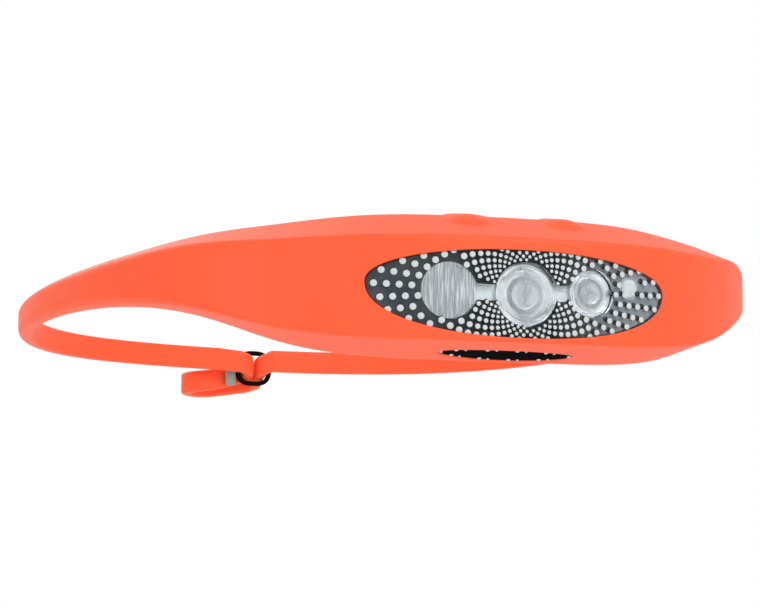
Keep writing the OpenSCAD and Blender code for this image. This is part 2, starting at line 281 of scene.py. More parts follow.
class Lobe:
    """A rounded oval outline with different heights above and below its centre line."""

    def __init__(self, a, top, low, e):
        self.a, self.top, self.low, self.e = a, top, low, e

    def share(self, x):
        return max(0.0, 1 - min(1.0, abs(x) / self.a) ** self.e) ** (1 / self.e)

    def upper(self, x):
        return MODULE_Z + self.top * self.share(x)

    def lower(self, x):
        return MODULE_Z - self.low * self.share(x)

    def columns(self, n=96):
        return [-self.a * math.cos(math.pi * (k + 0.02) / (n + 0.04)) for k in range(n + 1)]


def slab(name, lobe, layers, material, place=prism_point, top_limit=None, sharp=35):
    """A curved plate with the lobe's outline: layers are radii from the front to the back."""
    rings = []
    for x in lobe.columns():
        hi, lo = lobe.upper(x), lobe.lower(x)
        ring = []
        for r in layers:
            top = min(hi, top_limit(r)) if top_limit else hi
            ring.append(place(x, top, r))
        for r in reversed(layers):
            ring.append(place(x, lo, r))
        rings.append(ring)
    verts, faces = loft(rings)
    return mesh_object(name, verts, faces, material, sharp)


WINDOW = Lobe(38.9, 8.5, 12.9, 2.2)


def case_top(r):
    """Height of the module's sloping top at radius r."""
    return EDGE_Z - SKIN + (FACE_R - r) * SLOPE


# ---- materials -------------------------------------------------------------------

def srgb(r, g, b):
    def lin(c):
        c /= 255
        return c / 12.92 if c <= 0.04045 else ((c + 0.055) / 1.055) ** 2.4
    return (lin(r), lin(g), lin(b), 1.0)


def new_material(name):
    mat = bpy.data.materials.new(name)
    mat.use_nodes = True
    nodes = mat.node_tree.nodes
    return mat, mat.node_tree, nodes["Principled BSDF"]


def noise(tree, scale, detail=3.0, rough=0.5):
    coord = tree.nodes.new("ShaderNodeTexCoord")
    tex = tree.nodes.new("ShaderNodeTexNoise")
    tex.inputs["Scale"].default_value = scale
    tex.inputs["Detail"].default_value = detail
    tex.inputs["Roughness"].default_value = rough
    tree.links.new(coord.outputs["Object"], tex.inputs["Vector"])
    return tex.outputs["Fac"]


def ramp(tree, value, low, high, a=0.35, b=0.65):
    node = tree.nodes.new("ShaderNodeValToRGB")
    node.color_ramp.elements[0].position = a
    node.color_ramp.elements[1].position = b
    node.color_ramp.elements[0].color = low
    node.color_ramp.elements[1].color = high
    tree.links.new(value, node.inputs["Fac"])
    return node.outputs["Color"]


def remap(tree, value, low, high, a=0.3, b=0.7):
    node = tree.nodes.new("ShaderNodeMapRange")
    node.inputs["From Min"].default_value = a
    node.inputs["From Max"].default_value = b
    node.inputs["To Min"].default_value = low
    node.inputs["To Max"].default_value = high
    tree.links.new(value, node.inputs["Value"])
    return node.outputs["Result"]


def bump(tree, bsdf, height, strength, distance):
    node = tree.nodes.new("ShaderNodeBump")
    node.inputs["Strength"].default_value = strength
    node.inputs["Distance"].default_value = distance
    tree.links.new(height, node.inputs["Height"])
    tree.links.new(node.outputs["Normal"], bsdf.inputs["Normal"])


def shade(color, k):
    return tuple(min(1.0, c * k) for c in color[:3]) + (1.0,)


def plastic(name, color, rough=0.4, spread=0.05, grain=900.0, depth=0.00002, strength=0.2, **sockets):
    """A moulded surface: slight colour variation, uneven roughness and a fine grain."""
    mat, tree, bsdf = new_material(name)
    wide = noise(tree, 60.0, 2.0)
    tint = ramp(tree, wide, shade(color, 1 - spread), shade(color, 1 + spread))
    tree.links.new(tint, bsdf.inputs["Base Color"])
    fine = noise(tree, grain, 2.0)
    tree.links.new(remap(tree, fine, rough - 0.05, rough + 0.05), bsdf.inputs["Roughness"])
    bump(tree, bsdf, fine, strength, depth)
    for socket, value in sockets.items():
        bsdf.inputs[socket.replace("_", " ")].default_value = value
    return mat


def silicone():
    mat = plastic(
        "orange_silicone", srgb(253, 87, 40),
        rough=0.5, spread=0.02, grain=1400.0, depth=0.00003, strength=0.25,
        Sheen_Weight=0.06, Sheen_Roughness=0.4, Subsurface_Weight=0.12, Subsurface_Scale=0.0015,
        Specular_IOR_Level=0.4,
    )
    bsdf = mat.node_tree.nodes["Principled BSDF"]
    bsdf.inputs["Subsurface Radius"].default_value = (1.0, 0.35, 0.2)
    bsdf.inputs["Sheen Tint"].default_value = (1.0, 0.85, 0.8, 1.0)
    return mat


def clear_skin():
    """A thin clear wall: what is behind shows unbent, and the surface shines by its angle."""
    mat, tree, bsdf = new_material("clear_window")
    bsdf.inputs["Base Color"].default_value = (0.9, 0.92, 0.93, 1)
    bsdf.inputs["Metallic"].default_value = 1.0
    fine = noise(tree, 400.0, 2.0)
    tree.links.new(remap(tree, fine, 0.02, 0.06), bsdf.inputs["Roughness"])
    bsdf.inputs["IOR"].default_value = 1.5
    glass = tree.nodes.new("ShaderNodeBsdfTransparent")
    glass.inputs["Color"].default_value = (1.0, 1.0, 1.0, 1.0)
    fresnel = tree.nodes.new("ShaderNodeFresnel")
    fresnel.inputs["IOR"].default_value = 1.22
    mix = tree.nodes.new("ShaderNodeMixShader")
    tree.links.new(fresnel.outputs["Fac"], mix.inputs["Fac"])
    tree.links.new(glass.outputs["BSDF"], mix.inputs[1])
    tree.links.new(bsdf.outputs["BSDF"], mix.inputs[2])
    out = tree.nodes["Material Output"]
    tree.links.new(mix.outputs["Shader"], out.inputs["Surface"])
    return mat


def acrylic():
    """Solid clear acrylic, which slightly bends what is behind it."""
    mat, tree, bsdf = new_material("clear_acrylic")
    tint = (0.95, 0.97, 0.97, 1)
    wide = noise(tree, 300.0, 2.0)
    tree.links.new(ramp(tree, wide, shade(tint, 0.95), shade(tint, 1.02)), bsdf.inputs["Base Color"])
    tree.links.new(remap(tree, wide, 0.01, 0.05), bsdf.inputs["Roughness"])
    bsdf.inputs["Transmission Weight"].default_value = 1.0
    bsdf.inputs["IOR"].default_value = 1.13
    return mat


def ribbed_clear():
    """The flood outlet's cover: fine bright and dark upright streaks over what is behind it."""
    mat, tree, bsdf = new_material("ribbed_clear")
    coord = tree.nodes.new("ShaderNodeTexCoord")
    stretch = tree.nodes.new("ShaderNodeMapping")
    stretch.inputs["Scale"].default_value = (2600, 2600, 160)
    tree.links.new(coord.outputs["Object"], stretch.inputs["Vector"])
    tex = tree.nodes.new("ShaderNodeTexNoise")
    tex.inputs["Scale"].default_value = 1.0
    tex.inputs["Detail"].default_value = 2.0
    tree.links.new(stretch.outputs["Vector"], tex.inputs["Vector"])
    streaks = tex.outputs["Fac"]
    tree.links.new(ramp(tree, streaks, srgb(178, 188, 194), srgb(244, 248, 250)), bsdf.inputs["Base Color"])
    bsdf.inputs["Roughness"].default_value = 0.16
    bump(tree, bsdf, streaks, 0.5, 0.00015)
    clear = tree.nodes.new("ShaderNodeBsdfTransparent")
    clear.inputs["Color"].default_value = (0.97, 0.99, 1, 1)
    mix = tree.nodes.new("ShaderNodeMixShader")
    tree.links.new(remap(tree, streaks, 0.25, 0.65), mix.inputs["Fac"])
    tree.links.new(clear.outputs["BSDF"], mix.inputs[1])
    tree.links.new(bsdf.outputs["BSDF"], mix.inputs[2])
    tree.links.new(mix.outputs["Shader"], tree.nodes["Material Output"].inputs["Surface"])
    return mat


def mask_with_painted_reflection():
    """The dark glossy sheet behind the window: near-black in the middle and slate at its left end, with a
    painted reflection that turns it grey towards its right end.
    """
    mat, tree, bsdf = new_material("dark_mask_painted_reflection")
    coord = tree.nodes.new("ShaderNodeTexCoord")
    split = tree.nodes.new("ShaderNodeSeparateXYZ")
    tree.links.new(coord.outputs["Object"], split.inputs["Vector"])
    side = remap(tree, split.outputs["X"], 0.0, 1.0, (LAMP_X - 36) * MM, (LAMP_X + 36) * MM)
    # Colour stops across the sheet from left to right: the light grey stops at the right end are painted
    # reflection of the lamps.
    painted_reflection_ramp = tree.nodes.new("ShaderNodeValToRGB")
    stops = painted_reflection_ramp.color_ramp.elements
    stops[0].position, stops[0].color = 0.0, srgb(78, 86, 92)
    stops[1].position, stops[1].color = 1.0, srgb(140, 150, 156)
    for position, color in (
        (0.2, srgb(58, 68, 68)),
        (0.36, srgb(24, 30, 34)),
        (0.62, srgb(24, 29, 32)),
        (0.8, srgb(112, 122, 126)),
    ):
        stop = stops.new(position)
        stop.color = color
    tree.links.new(side, painted_reflection_ramp.inputs["Fac"])
    cloud = tree.nodes.new("ShaderNodeMix")
    cloud.data_type = "RGBA"
    cloud.blend_type = "MULTIPLY"
    cloud.inputs["Factor"].default_value = 1.0
    tree.links.new(painted_reflection_ramp.outputs["Color"], cloud.inputs[6])
    wide = noise(tree, 90.0, 2.0)
    tree.links.new(ramp(tree, wide, (0.72, 0.74, 0.76, 1), (1.2, 1.15, 1.15, 1)), cloud.inputs[7])
    tree.links.new(cloud.outputs[2], bsdf.inputs["Base Color"])
    bsdf.inputs["Roughness"].default_value = 0.18
    bsdf.inputs["Specular IOR Level"].default_value = 0.08
    return mat


SILICONE = silicone()
BLACK_SATIN = plastic(
    "black_gloss", (0.008, 0.007, 0.007, 1), rough=0.3, grain=700.0, Specular_IOR_Level=0.0,
)
BLACK_MATT = plastic(
    "black_case", (0.02, 0.02, 0.022, 1), rough=0.5, grain=1800.0, depth=0.00004, strength=0.4,
)
GREY_TAB = plastic("grey_tab", srgb(138, 148, 141), rough=0.45)
WINDOW_CLEAR = clear_skin()
ACRYLIC = acrylic()
RIBBED = ribbed_clear()
MASK = mask_with_painted_reflection()
DOT_WHITE = plastic("dot_white", srgb(194, 202, 203), rough=0.45, spread=0.04)
# Near-black colour for the painted shadows of the window's dots.
PAINTED_DOT_SHADOW = plastic("painted_dot_shadow", (0.006, 0.007, 0.008, 1), rough=0.3)
CUP = plastic("silver_cup", srgb(226, 232, 236), rough=0.22, spread=0.06, Metallic=0.3)
SMOKED = plastic(
    "smoked_lens", (0.006, 0.006, 0.007, 1), rough=0.2, grain=500.0, Specular_IOR_Level=0.0,
)
PHOSPHOR = plastic("phosphor", srgb(236, 222, 84), rough=0.5, spread=0.06, grain=2500.0)
CHIP_WHITE = plastic("chip_carrier", srgb(235, 235, 225), rough=0.4)

NODE_LOOKS = {
    "case_plastic": BLACK_MATT,
    "gasket_rubber": plastic("gasket_rubber", (0.04, 0.04, 0.045, 1), rough=0.6),
    "board_green": plastic("board_green", srgb(20, 96, 52), rough=0.3, spread=0.12, grain=1200.0),
    "board_black": plastic("board_black", srgb(24, 25, 27), rough=0.3, spread=0.1),
    "battery_foil": plastic(
        "battery_foil", srgb(196, 198, 202), rough=0.3, grain=300.0, depth=0.00006, Metallic=0.85,
    ),
    "foam_pad": plastic(
        "foam_pad", srgb(52, 52, 55), rough=0.85, grain=1500.0, depth=0.0001, strength=0.6,
    ),
    "lead_red": plastic("lead_red", srgb(196, 30, 26), rough=0.4),
    "lead_black": plastic("lead_black", srgb(22, 22, 22), rough=0.4),
    "switch_metal": plastic("switch_metal", srgb(188, 190, 192), rough=0.28, Metallic=0.9),
    "plunger_rubber": plastic("plunger_rubber", srgb(40, 40, 43), rough=0.6),
    "contact_gold": plastic("contact_gold", srgb(226, 180, 92), rough=0.25, Metallic=1.0),
    "led_phosphor": PHOSPHOR,
    "lens_clear": ACRYLIC,
    "window_clear": WINDOW_CLEAR,
    "smoked_lens": SMOKED,
    "backing_gloss": BLACK_SATIN,
    "ring_plastic": BLACK_SATIN,
    "grey_plastic": GREY_TAB,
    "silicone": SILICONE,
}
SLOT_OF = {s["node"]: s["material_slot"] for s in frame["record"]["subparts"]}
for node_name, node_obj in frame["nodes"].items():
    node_obj.data.materials.clear()
    node_obj.data.materials.append(NODE_LOOKS[SLOT_OF[node_name]])


def piece(obj, body, slot, *nodes):
    """Puts a piece under its body's empty, and hides the CAD nodes that it stands for.

    Clear pieces throw no shadow, so that light reaches what is behind them.
    """
    if slot in ("window_clear", "lens_clear"):
        obj.visible_shadow = False
    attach(obj, body)
    if nodes:
        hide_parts(*nodes)


# ---- the band ------------------------------------------------------------------

def band_rings():
    """The sections of the whole band: from the lamp round the back, the fold, and home again."""
    stations = (
        [loop_station(1.5 * i) for i in range(120)]
        + fold_stations()
        + [loop_station(-171 + 1.5 * i) for i in range(114)]
    )
    rings = []
    count = len(stations)
    for i, s in enumerate(stations):
        p, q = stations[i - 1], stations[(i + 1) % count]
        w = Vector((q[0] - p[0], q[1] - p[1])).normalized()
        out = Vector((w.y, -w.x))
        x, y, mid, half, deep, share = s
        rings.append([(x + out.x * n, y + out.y * n, mid + z) for n, z in section(half, deep, share)])
    return rings


PLUG_R, PLUG_Z = 120.9, -6.6
HEAD_SIDE_Y = -45


def plug_pocket(name, x0, x1, r, half):
    """Room for the plug, open towards the head."""
    rings = []
    for k in range(13):
        x = x0 + (x1 - x0) * k / 12
        front = ARC_Y - math.sqrt(r * r - x * x)
        low, high = PLUG_Z - half, PLUG_Z + half
        corners = ((front, low), (front, high), (HEAD_SIDE_Y, high), (HEAD_SIDE_Y, low))
        rings.append([(LAMP_X + x, y, z) for y, z in corners])
    verts, faces = loft(rings)
    return mesh_object(name, verts, faces, SILICONE)


SLOT_X, SLOT_Y, SLOT_HALF, SLOT_WIDTH = LAMP_X - 1.1, -85.2, 17.5, 3.8


def low_bevel_z(x, y):
    """Height of the housing's lower bevel."""
    r = math.hypot(x - LAMP_X, y - ARC_Y)
    return mid_z(0) - HOUSING_HEIGHT / 2 + LOW_RISE * (r - INNER_R) / HOUSING_DEPTH


def slot_cutter():
    """The lower slot's opening, with a slightly rounded mouth."""
    rings = []
    for above, grow in ((8, 0), (0.5, 0), (0.25, 0.04), (0.08, 0.16), (-0.1, 0.5), (-4, 4.5)):
        ring = []
        for a in (2 * math.pi * k / 120 for k in range(120)):
            c, n = math.cos(a), math.sin(a)
            z = low_bevel_z(SLOT_X + SLOT_HALF * c, SLOT_Y + SLOT_WIDTH * n) + above
            ring.append((SLOT_X + (SLOT_HALF + grow) * c, SLOT_Y + (SLOT_WIDTH + grow) * n, z))
        rings.append(ring)
    verts, faces = loft(rings)
    return mesh_object("slot_cutter", verts, faces, SILICONE)


def make_band():
    verts, faces = loft(band_rings(), closed=True)
    band = mesh_object("band_silicone", verts, faces, SILICONE, sharp=60)
    gap = 0.35
    pocket = Lobe(42 + gap, 16.2 + gap, 13.2 + gap, 2.1)
    radii = [CASE_R + gap - k * 2.6 for k in range(12)]
    cut(band, slab("pocket_cutter", pocket, radii, SILICONE, top_limit=lambda r: case_top(r) + gap), SILICONE)
    opening = Lobe(39.0, 8.6, 13.0, 2.2)
    cut(band, slab("window_cutter", opening, [FACE_R + 4, FACE_R - 6], SILICONE), SILICONE)
    cut(band, plug_pocket("neck_cutter", 36, 51.2, PLUG_R + 3.8, 8.2), SILICONE)
    cut(band, plug_pocket("tongue_cutter", 48, 62.2, PLUG_R + 2.1, 6.6), SILICONE)
    cut(band, slot_cutter(), SILICONE, sharp=32)
    piece(band, "band", "silicone", "headband")


BUTTON_CENTRE, BUTTON_SPREAD, PAD_R = 2.9, 12.9, FACE_R - 12


def make_button(side, name, node):
    """A dome in the band's skin, on its sloping top."""
    x = BUTTON_CENTRE + side * BUTTON_SPREAD
    a = math.asin(x / PAD_R)
    z = EDGE_Z + (FACE_R - PAD_R) * SLOPE
    o = Vector((LAMP_X + PAD_R * math.sin(a), ARC_Y - PAD_R * math.cos(a), z))
    u = Vector((math.cos(a), math.sin(a), 0))
    w = Vector((math.sin(BEVEL) * math.sin(a), -math.sin(BEVEL) * math.cos(a), math.cos(BEVEL)))
    v = w.cross(u)
    half_l, half_w, rise, power = 7.3, 5.6, 1.3, 2.3
    rings = []
    levels = 18
    for k in range(levels + 1):
        rho = k / levels
        height = rise * (1 - rho ** 2.2) ** 2.1 - 0.05 * rho ** 6
        ring = []
        for j in range(72):
            c, s = math.cos(2 * math.pi * j / 72), math.sin(2 * math.pi * j / 72)
            norm = (abs(c) ** power + abs(s) ** power) ** (-1 / power)
            rr = max(rho, 0.004) * norm
            across = rr * s * half_w
            # the bevel is a cone about the lamp's centre, so the pad's ends follow it down
            sag = -(rr * c * half_l) ** 2 / (2 * PAD_R) * math.sin(BEVEL)
            ring.append(tuple(o + u * rr * c * half_l + v * across + w * (height + sag)))
        rings.append(ring)
    under = [tuple(Vector(p) - w * 0.9) for p in rings[-1]]
    rings.append(under)
    verts, faces = loft(rings)
    dome = mesh_object(name, verts, faces, SILICONE, sharp=60)
    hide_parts(node)
    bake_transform(dome)


# ---- rear adjuster ---------------------------------------------------------------

def superellipse(a, b, e, n):
    """Points of a rounded rectangle: the higher e is, the squarer."""
    points = []
    for k in range(n):
        c, s = math.cos(2 * math.pi * k / n), math.sin(2 * math.pi * k / n)
        f = (abs(c) ** e + abs(s) ** e) ** (-1 / e)
        points.append((a * c * f, b * s * f))
    return points


def make_ring():
    """A rounded flat ring that the strap passes through."""
    outer = superellipse(5.4, 5.1, 2.7, 72)
    inner = superellipse(3.95, 3.75, 3.4, 72)
    y_mid, half = FOLD_Y + 3.82, 0.7
    rings = []
    for (ax, az), (bx, bz) in zip(outer, inner):
        ring = []
        for k in range(16):
            c, s = math.cos(2 * math.pi * k / 16), math.sin(2 * math.pi * k / 16)
            e = 2.8
            f = (abs(c) ** e + abs(s) ** e) ** (-1 / e)
            t = 0.5 + 0.5 * c * f
            ring.append((RING_X + bx + (ax - bx) * t, y_mid + half * s * f, RING_Z + bz + (az - bz) * t))
        rings.append(ring)
    verts, faces = loft(rings, closed=True)
    ring = mesh_object("adjuster_ring_body", verts, faces, BLACK_SATIN, sharp=60)
    piece(ring, "band", "ring_plastic", "adjuster_ring")


def rounded_block(name, lo, hi, radius, material):
    """A block with rounded edges."""
    bm = bmesh.new()
    bmesh.ops.create_cube(bm, size=1)
    for vert in bm.verts:
        vert.co = Vector([(lo[i] + hi[i]) / 2 + vert.co[i] * (hi[i] - lo[i]) for i in range(3)])
    bmesh.ops.bevel(bm, geom=bm.edges[:], offset=radius, segments=4, profile=0.5, affect="EDGES")
    mesh = bpy.data.meshes.new(name)
    bm.to_mesh(mesh)
    bm.free()
    for vert in mesh.vertices:
        vert.co *= MM
    obj = bpy.data.objects.new(name, mesh)
    bpy.context.scene.collection.objects.link(obj)
    tidy_mesh(obj, material, 60)
    return obj


def make_wedge():
    lo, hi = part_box("locking_wedge")
    tab = rounded_block("locking_tab", lo / MM, hi / MM, 0.45, GREY_TAB)
    piece(tab, "wedge", "grey_plastic", "locking_wedge")


# ---- the window ------------------------------------------------------------------

SKIN_R = FACE_R - 0.6
MASK_R = SKIN_R - 0.9
# each outlet: x, z and radius
FLOOD, SPOT = (-18.8, -8.7, 6.9), (0.85, -9.2, 7.85)
BEAM, SIDE = (18.7, -7.9, 5.95), (29.7, -5.9, 2.9)
DOT_CENTRE = (0.2, -9.1)
NECK = 1.9


def chord(x, o):
    """Half the height, at x, of outlet o's circle."""
    return math.sqrt(max(0.0, o[2] ** 2 - (x - o[0]) ** 2))


def cluster_half(x, grow=0.0):
    """Half the height, at x, of the clear shape that joins the three large outlets."""
    p = 3.4
    total = sum(chord(x, (o[0], o[1], o[2] + grow)) ** p for o in (FLOOD, SPOT, BEAM))
    if FLOOD[0] < x < BEAM[0]:
        total += (NECK + grow) ** p
    return total ** (1 / p)


def cluster_mid(x):
    """Height, at x, of the line through the three large outlets."""
    if x < SPOT[0]:
        t = min(1.0, max(0.0, (x - FLOOD[0]) / (SPOT[0] - FLOOD[0])))
        return FLOOD[1] + (SPOT[1] - FLOOD[1]) * t
    t = min(1.0, max(0.0, (x - SPOT[0]) / (BEAM[0] - SPOT[0])))
    return SPOT[1] + (BEAM[1] - SPOT[1]) * t


def cluster_columns(grow, n=240):
    """The x of each column across the cluster, closer together at its ends."""
    x0, x1 = FLOOD[0] - FLOOD[2] - grow, BEAM[0] + BEAM[2] + grow
    return [(x0 + x1) / 2 - (x1 - x0) / 2 * math.cos(math.pi * k / n) for k in range(n + 1)]


def cluster_solid(name, grow, r_front, r_back, material, sharp=35):
    """The clear cluster's shape as a curved plate."""
    rings = []
    for x in cluster_columns(grow):
        half = max(cluster_half(x, grow), 0.003)
        mid = cluster_mid(x)
        rings.append([
            arc_point(x, mid + half, r_front), arc_point(x, mid + half, r_back),
            arc_point(x, mid - half, r_back), arc_point(x, mid - half, r_front)])
    verts, faces = loft(rings)
    return mesh_object(name, verts, faces, material, sharp)


LINES, FIRST_DOT, DOT_REACH = 68, 6.9, 42


def dot_places():
    """(x, z, diameter) of each dot.

    They stand on lines that run out from the middle outlet, and every other line starts
    half a step further out. The steps grow with the radius, then stay even.
    """
    places = []
    for line in range(LINES):
        a = 2 * math.pi * (line + 0.5) / LINES
        longest = 2.78 - 0.22 * math.cos(a)
        radius = FIRST_DOT * math.exp(0.095 * (line % 2))
        while radius < DOT_REACH:
            x, z = DOT_CENTRE[0] + radius * math.cos(a), DOT_CENTRE[1] + radius * math.sin(a)
            places.append((x, z, min(1.54 - 0.12 * math.cos(a), 0.09 * radius)))
            radius += min(longest, 0.209 * radius)
    return places


def shown_dots():
    """The dots within the window, clear of the outlets."""
    kept = []
    for x, z, d in dot_places():
        if abs(x) >= WINDOW.a - 0.3:
            continue
        if not WINDOW.lower(x) - 0.2 * d < z < WINDOW.upper(x) + 0.2 * d:
            continue
        inside = FLOOD[0] - FLOOD[2] - 0.3 < x < BEAM[0] + BEAM[2] + 0.3
        if inside and abs(z - cluster_mid(x)) < cluster_half(x, 0.15) + 0.3 * d:
            continue
        if math.hypot(x - SIDE[0], z - SIDE[1]) < SIDE[2] - 0.6 + 0.3 * d:
            continue
        kept.append((x, z, d))
    return kept


def right_share(x):
    """0 on the window's left half, rising to 1 towards its right end."""
    t = min(1.0, max(0.0, (x - 6) / 18))
    return t * t * (3 - 2 * t)


def disc_group(name, places, r_low, r_high, shift, material, lip=0.05):
    """Low round discs on the window's curve, trimmed by the window's outline.

    shift moves them up, and towards the right end also to the left; it sets the painted dot shadows off from
    the white dots.
    """
    verts, faces = [], []
    n = 18
    for x0, z0, d in places:
        start = len(verts)
        x0 -= 1.6 * shift * right_share(x0)
        steps = ((d / 2, r_low), (d / 2, r_high - lip), (d / 2 - lip, r_high), (d * 0.12, r_high + lip * 0.4))
        for radius, r in steps:
            for k in range(n):
                x = x0 + radius * math.cos(2 * math.pi * k / n)
                x = max(-WINDOW.a + 0.05, min(WINDOW.a - 0.05, x))
                z = z0 + shift + radius * math.sin(2 * math.pi * k / n)
                z = max(WINDOW.lower(x) + 0.02, min(WINDOW.upper(x) - 0.02, z))
                verts.append(arc_point(x, z, r))
        for level in range(3):
            a, b = start + level * n, start + (level + 1) * n
            faces += [(a + k, a + (k + 1) % n, b + (k + 1) % n, b + k) for k in range(n)]
        faces.append(tuple(start + k for k in range(n))[::-1])
        faces.append(tuple(start + 3 * n + k for k in range(n)))
    return mesh_object(name, verts, faces, material, 50)


def make_window():
    skin = slab("window_skin", WINDOW, [SKIN_R, SKIN_R - 0.35], WINDOW_CLEAR)
    piece(skin, "light_module", "window_clear", "front_window")
    mask = slab("window_mask", Lobe(38.7, 8.3, 12.7, 2.2), [MASK_R, MASK_R - 0.7], MASK, place=arc_point)
    cut(mask, cluster_solid("cluster_cutter", 0.05, MASK_R + 1, MASK_R - 2, MASK), MASK)
    side_hole = turned("side_cutter", SIDE[0], SIDE[1], [(SIDE[2], 0), (SIDE[2], 5)], MASK, r=MASK_R + 1)
    cut(mask, side_hole, MASK)
    piece(mask, "light_module", "backing_gloss", "backing_plate")
    dots = shown_dots()
    white = disc_group("window_dots", dots, SKIN_R + 0.005, SKIN_R + 0.12, 0.0, DOT_WHITE)
    piece(white, "light_module", "backing_gloss")
    # Dark discs on the backing sheet, up from each white dot and, towards the right end, to its left: painted
    # shadows of the dots.
    dark = disc_group("painted_dot_shadows", dots, MASK_R + 0.005, MASK_R + 0.06, 0.45, PAINTED_DOT_SHADOW, lip=0.02)
    piece(dark, "light_module", "backing_gloss")


def make_cluster():
    """Clear plate over the three large outlets, with a silver tray behind it."""
    plate = cluster_solid("lens_plate", 0.0, SKIN_R - 0.45, SKIN_R - 1.6, ACRYLIC, 30)
    for (x, z, r), rim in ((SPOT, 0.9), (BEAM, 0.9), (FLOOD, 0.35)):
        hole = turned("plate_cutter", x, z, [(r - rim, 0), (r - rim, 4)], ACRYLIC, r=SKIN_R + 1)
        cut(plate, hole, ACRYLIC, 30)
    piece(plate, "light_module", "lens_clear")
    tray = cluster_solid("lens_tray", 0.5, MASK_R - 2.2, MASK_R - 2.9, CUP)
    for x, z, r in (FLOOD, SPOT, BEAM):
        hole = turned("tray_cutter", x, z, [(r - 1.2, 0), (r - 1.2, 6)], CUP, r=MASK_R)
        cut(tray, hole, CUP)
    piece(tray, "light_module", "backing_gloss")


def spot_profile(r):
    """A lens with a raised lip, a ring-shaped valley and a domed middle, flat behind."""
    inner = r * 0.45
    pts = [(0.002, 3.6), (r - 2.6, 3.6), (r - 1.3, 2.6), (r - 1.0, 1.4)]
    pts += [(r - 1.0, 0.7), (r - 1.25, 0.45), (r - 1.6, 0.6), (r - 2.2, 1.5)]
    pts += [(inner + 0.9, 2.0), (inner + 0.25, 2.0)]
    for k in range(9):
        t = k / 8
        pts.append((inner * math.cos(t * math.pi / 2), 1.9 - 1.3 * math.sin(t * math.pi / 2)))
    return pts


def make_spot(name, o, node, led, chip):
    x, z, r = o
    lens = turned(name, x, z, spot_profile(r), ACRYLIC, segments=80, r=SKIN_R)
    piece(lens, "light_module", "lens_clear", node)
    cup = turned(name + "_cup", x, z, [
        (r - 0.6, 1.9), (r - 1.0, 3.0), (r - 2.4, 4.4), (chip * 0.62, 5.0), (chip * 0.6, 5.6),
        (chip * 0.7, 5.8), (r - 1.9, 5.0), (r - 0.5, 3.4), (r - 0.3, 1.9)], CUP, r=SKIN_R)
    piece(cup, "light_module", "backing_gloss")
    make_chip(name + "_chip", x, z, chip, 4.5, led)


def make_chip(name, x, z, size, depth, node):
    """A square white carrier with a yellow dome of phosphor on it."""
    o, u, v, w = local_frame(x, z, SKIN_R)
    h = size / 2
    base = [(-h, -h), (h, -h), (h, h), (-h, h)]
    rings = [[tuple(o + u * a * k + v * b * k - w * d) for a, b in base]
             for k, d in ((1, depth + 0.7), (1, depth + 0.08), (0.94, depth))]
    verts, faces = loft(rings)
    carrier = mesh_object(name + "_carrier", verts, faces, CHIP_WHITE, 30)
    piece(carrier, "light_module", "led_phosphor", node)
    profile = [(h * 0.84, depth + 0.02)]
    profile += [(h * 0.84 * math.cos(t), depth - 0.1 - h * 0.35 * math.sin(t)) for t in
                (math.pi / 2 * k / 6 for k in range(7))]
    dome = turned(name, x, z, profile, PHOSPHOR, segments=40, r=SKIN_R)
    piece(dome, "light_module", "led_phosphor")


def make_flood():
    """A round cover with fine upright ribs, over a silver cup."""
    x, z, r = FLOOD
    o, u, v, w = local_frame(x, z, SKIN_R)
    rib, n = 0.62, 44
    rings = []
    rad = r - 0.1
    cols = 200
    for i in range(cols + 1):
        a = -rad * math.cos(math.pi * i / cols)
        half = math.sqrt(max(0.0, rad * rad - a * a)) + 0.004
        wave = 0.16 * abs(math.sin(math.pi * a / rib)) ** 0.8
        front = 0.75 - wave
        ring = [tuple(o + u * a + v * half * (1 - 2 * k / n) - w * front) for k in range(n + 1)]
        ring += [tuple(o + u * a + v * half * (2 * k / n - 1) - w * 2.2) for k in range(n + 1)]
        rings.append(ring)
    verts, faces = loft(rings)
    cover = mesh_object("flood_cover", verts, faces, RIBBED, 25)
    piece(cover, "light_module", "lens_clear", "flood_lens")
    cup = turned("flood_cup", x, z, [
        (r - 0.3, 2.2), (r - 0.6, 3.8), (r - 2.2, 5.6), (2.5, 6.4), (0.002, 6.4), (0.002, 6.9), (2.7, 6.9),
        (r - 1.8, 6.0), (r - 0.2, 3.9), (r - 0.05, 2.2)], CUP, r=SKIN_R)
    piece(cup, "light_module", "backing_gloss")
    make_chip("flood_chip", x - 0.6, z + 3.6, 3.4, 3.2, "flood_led")


def make_side():
    x, z, r = SIDE
    cup = turned("side_cup", x, z, [
        (r, 1.0), (r - 0.5, 2.4), (1.6, 3.6), (0.002, 3.6), (0.002, 4.0), (1.8, 4.0),
        (r - 0.2, 2.6), (r + 0.25, 1.0)], CUP, r=SKIN_R)
    piece(cup, "light_module", "backing_gloss")
    dome_r = r - 0.3
    profile = [(dome_r, 2.0), (dome_r, 1.4)]
    for k in range(1, 9):
        t = math.pi / 2 * k / 8
        profile.append((dome_r * math.cos(t), 1.4 - 0.8 * math.sin(t)))
    dome = turned("side_cover", x, z, profile, ACRYLIC, r=SKIN_R)
    piece(dome, "light_module", "lens_clear", "side_lens")
    make_chip("side_chip", x, z, 2.4, 3.1, "side_led")


# ---- downlight ---------------------------------------------------------------------

